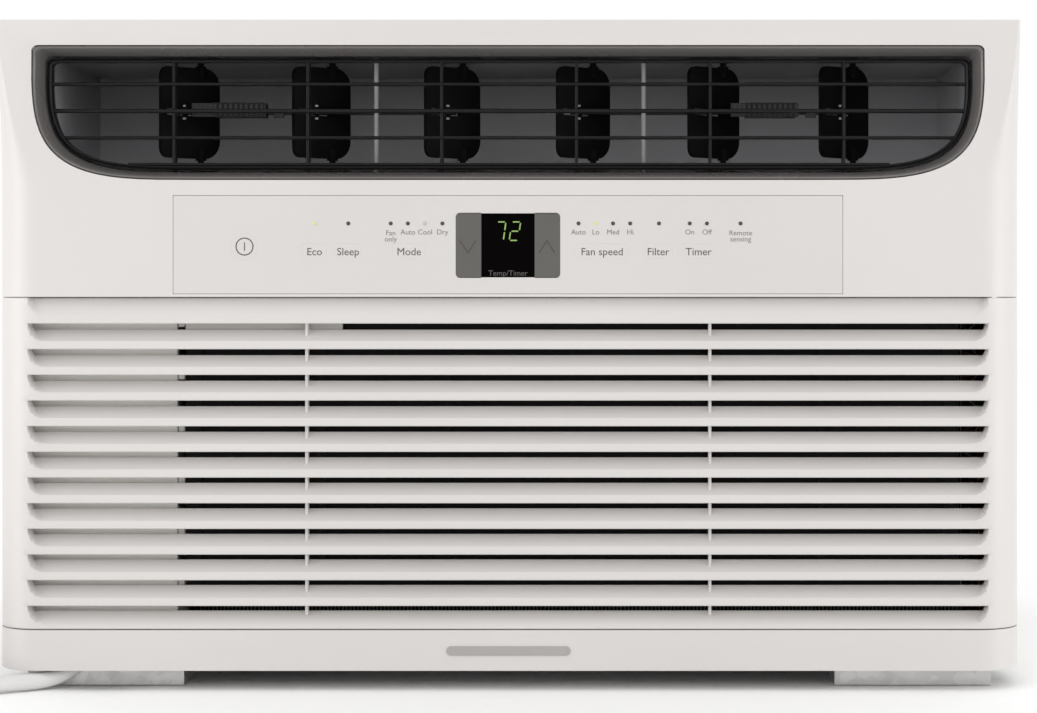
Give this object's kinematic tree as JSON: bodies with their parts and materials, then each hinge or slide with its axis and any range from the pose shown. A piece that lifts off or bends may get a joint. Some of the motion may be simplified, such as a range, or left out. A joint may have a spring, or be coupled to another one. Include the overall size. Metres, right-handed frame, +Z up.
{
  "type": "window air conditioner",
  "caption": "Window air conditioner with an upper vane outlet, a touch control strip, a tilt-out louvred intake door, two feet and a power cord with a protective plug.",
  "frame": {"origin": "on the ground, in the middle of the unit's footprint, cord aside", "axes": "+Z up, the front faces -Y, +X to the right as seen from the front"},
  "size_m": [0.6117, 0.4413, 0.305],
  "materials": {
    "white_plastic": "satin",
    "rim_plastic": "gloss",
    "black_plastic": "satin",
    "duct_plastic": "matt",
    "overlay": "satin",
    "grey_key": "satin",
    "display": "gloss",
    "board": "satin",
    "galvanised": "spangled",
    "painted_steel": "satin",
    "foam": "matt",
    "fins": "bare",
    "fan_plastic": "matt",
    "motor_steel": "bare",
    "compressor_paint": "satin",
    "copper": "bare",
    "filter_plastic": "matt",
    "capacitor_can": "bare",
    "cord_jacket": "satin",
    "blade_brass": "bare"
  },
  "bodies": {
    "root": {"front_panel": "white_plastic", "outlet_bezel": "rim_plastic", "discharge_grille": "black_plastic", "control_panel": "overlay", "display_window": "display", "control_board": "board", "outlet_duct": "duct_plastic", "outlet_post_left": "galvanised", "outlet_post_right": "galvanised", "foot_left": "galvanised", "foot_right": "galvanised", "base_pan": "galvanised", "cabinet": "painted_steel", "rear_guard": "painted_steel", "bulkhead": "galvanised", "control_box": "foam", "run_capacitor": "capacitor_can", "blower_housing": "foam", "fan_motor": "motor_steel", "motor_bracket": "galvanised", "fan_shroud": "foam", "evaporator_coil": "fins", "condenser_coil": "fins", "compressor": "compressor_paint", "accumulator": "compressor_paint", "suction_line": "copper", "discharge_line": "copper", "accumulator_line": "copper", "capillary_tube": "copper", "strain_relief": "cord_jacket", "power_cord": "cord_jacket", "cord_coil": "cord_jacket", "plug_body": "cord_jacket", "plug_blade_left": "blade_brass", "plug_blade_right": "blade_brass", "plug_ground_pin": "blade_brass"},
    "vane_1": {"vane_1": "black_plastic"},
    "vane_2": {"vane_2": "black_plastic"},
    "vane_3": {"vane_3": "black_plastic"},
    "vane_4": {"vane_4": "black_plastic"},
    "vane_5": {"vane_5": "black_plastic"},
    "vane_6": {"vane_6": "black_plastic"},
    "vane_link_left": {"vane_link_left": "black_plastic"},
    "vane_link_right": {"vane_link_right": "black_plastic"},
    "intake_door": {"intake_grille": "white_plastic", "air_filter": "filter_plastic"},
    "rotor": {"motor_shaft": "motor_steel", "blower_wheel": "fan_plastic", "condenser_fan": "fan_plastic"},
    "key_power": {"key_power": "overlay"},
    "key_eco": {"key_eco": "overlay"},
    "key_sleep": {"key_sleep": "overlay"},
    "key_mode": {"key_mode": "overlay"},
    "key_temp_down": {"key_temp_down": "grey_key"},
    "key_temp_up": {"key_temp_up": "grey_key"},
    "key_fan_speed": {"key_fan_speed": "overlay"},
    "key_filter": {"key_filter": "overlay"},
    "key_timer": {"key_timer": "overlay"},
    "plug_test_button": {"plug_test_button": "grey_key"},
    "plug_reset_button": {"plug_reset_button": "grey_key"}
  },
  "joints": [
    {"name": "vane_1_turn", "type": "hinge", "parent": "root", "child": "vane_1", "pos_m": [-0.1465, -0.15, 0.265], "axis": [0, 0, 1], "range_deg": [-3, 97]},
    {"name": "vane_2_turn", "type": "hinge", "parent": "root", "child": "vane_2", "pos_m": [-0.0845, -0.15, 0.265], "axis": [0, 0, 1], "range_deg": [-3, 97]},
    {"name": "vane_3_turn", "type": "hinge", "parent": "root", "child": "vane_3", "pos_m": [-0.023, -0.15, 0.265], "axis": [0, 0, 1], "range_deg": [-3, 97]},
    {"name": "vane_4_turn", "type": "hinge", "parent": "root", "child": "vane_4", "pos_m": [0.0385, -0.15, 0.265], "axis": [0, 0, 1], "range_deg": [-3, 97]},
    {"name": "vane_5_turn", "type": "hinge", "parent": "root", "child": "vane_5", "pos_m": [0.0998, -0.15, 0.265], "axis": [0, 0, 1], "range_deg": [-3, 97]},
    {"name": "vane_6_turn", "type": "hinge", "parent": "root", "child": "vane_6", "pos_m": [0.161, -0.15, 0.265], "axis": [0, 0, 1], "range_deg": [-3, 97]},
    {"name": "vane_link_left_slide", "type": "slide", "parent": "root", "child": "vane_link_left", "axis": [1, 0, 0], "range_m": [-0.0006, 0.014]},
    {"name": "vane_link_right_slide", "type": "slide", "parent": "root", "child": "vane_link_right", "axis": [1, 0, 0], "range_m": [-0.0006, 0.014]},
    {"name": "intake_door_tilt", "type": "hinge", "parent": "root", "child": "intake_door", "pos_m": [0, -0.1939, 0.0288], "axis": [1, 0, 0], "range_deg": [0, 30]},
    {"name": "rotor_spin", "type": "hinge", "parent": "root", "child": "rotor", "pos_m": [-0.06, 0, 0.152], "axis": [0, 1, 0], "continuous": true},
    {"name": "key_power_press", "type": "slide", "parent": "root", "child": "key_power", "axis": [0, 1, 0], "range_m": [0, 0.0004], "stiffness_N_per_m": 600, "springref_m": -0.0006},
    {"name": "key_eco_press", "type": "slide", "parent": "root", "child": "key_eco", "axis": [0, 1, 0], "range_m": [0, 0.0004], "stiffness_N_per_m": 600, "springref_m": -0.0006},
    {"name": "key_sleep_press", "type": "slide", "parent": "root", "child": "key_sleep", "axis": [0, 1, 0], "range_m": [0, 0.0004], "stiffness_N_per_m": 600, "springref_m": -0.0006},
    {"name": "key_mode_press", "type": "slide", "parent": "root", "child": "key_mode", "axis": [0, 1, 0], "range_m": [0, 0.0004], "stiffness_N_per_m": 600, "springref_m": -0.0006},
    {"name": "key_temp_down_press", "type": "slide", "parent": "root", "child": "key_temp_down", "axis": [0, 1, 0], "range_m": [0, 0.0004], "stiffness_N_per_m": 600, "springref_m": -0.0006},
    {"name": "key_temp_up_press", "type": "slide", "parent": "root", "child": "key_temp_up", "axis": [0, 1, 0], "range_m": [0, 0.0004], "stiffness_N_per_m": 600, "springref_m": -0.0006},
    {"name": "key_fan_speed_press", "type": "slide", "parent": "root", "child": "key_fan_speed", "axis": [0, 1, 0], "range_m": [0, 0.0004], "stiffness_N_per_m": 600, "springref_m": -0.0006},
    {"name": "key_filter_press", "type": "slide", "parent": "root", "child": "key_filter", "axis": [0, 1, 0], "range_m": [0, 0.0004], "stiffness_N_per_m": 600, "springref_m": -0.0006},
    {"name": "key_timer_press", "type": "slide", "parent": "root", "child": "key_timer", "axis": [0, 1, 0], "range_m": [0, 0.0004], "stiffness_N_per_m": 600, "springref_m": -0.0006},
    {"name": "plug_test_button_press", "type": "slide", "parent": "root", "child": "plug_test_button", "axis": [0, 0, -1], "range_m": [0, 0.001], "stiffness_N_per_m": 400, "springref_m": -0.0008},
    {"name": "plug_reset_button_press", "type": "slide", "parent": "root", "child": "plug_reset_button", "axis": [0, 0, -1], "range_m": [0, 0.001], "stiffness_N_per_m": 400, "springref_m": -0.0008}
  ],
  "couplings": [
    {"joint": "vane_2_turn", "follows": "vane_1_turn", "ratio": 1},
    {"joint": "vane_3_turn", "follows": "vane_1_turn", "ratio": 1},
    {"joint": "vane_5_turn", "follows": "vane_4_turn", "ratio": 1},
    {"joint": "vane_6_turn", "follows": "vane_4_turn", "ratio": 1},
    {"joint": "vane_link_left_slide", "follows": "vane_1_turn", "m_per_rad": 0.008},
    {"joint": "vane_link_right_slide", "follows": "vane_4_turn", "m_per_rad": 0.008}
  ]
}
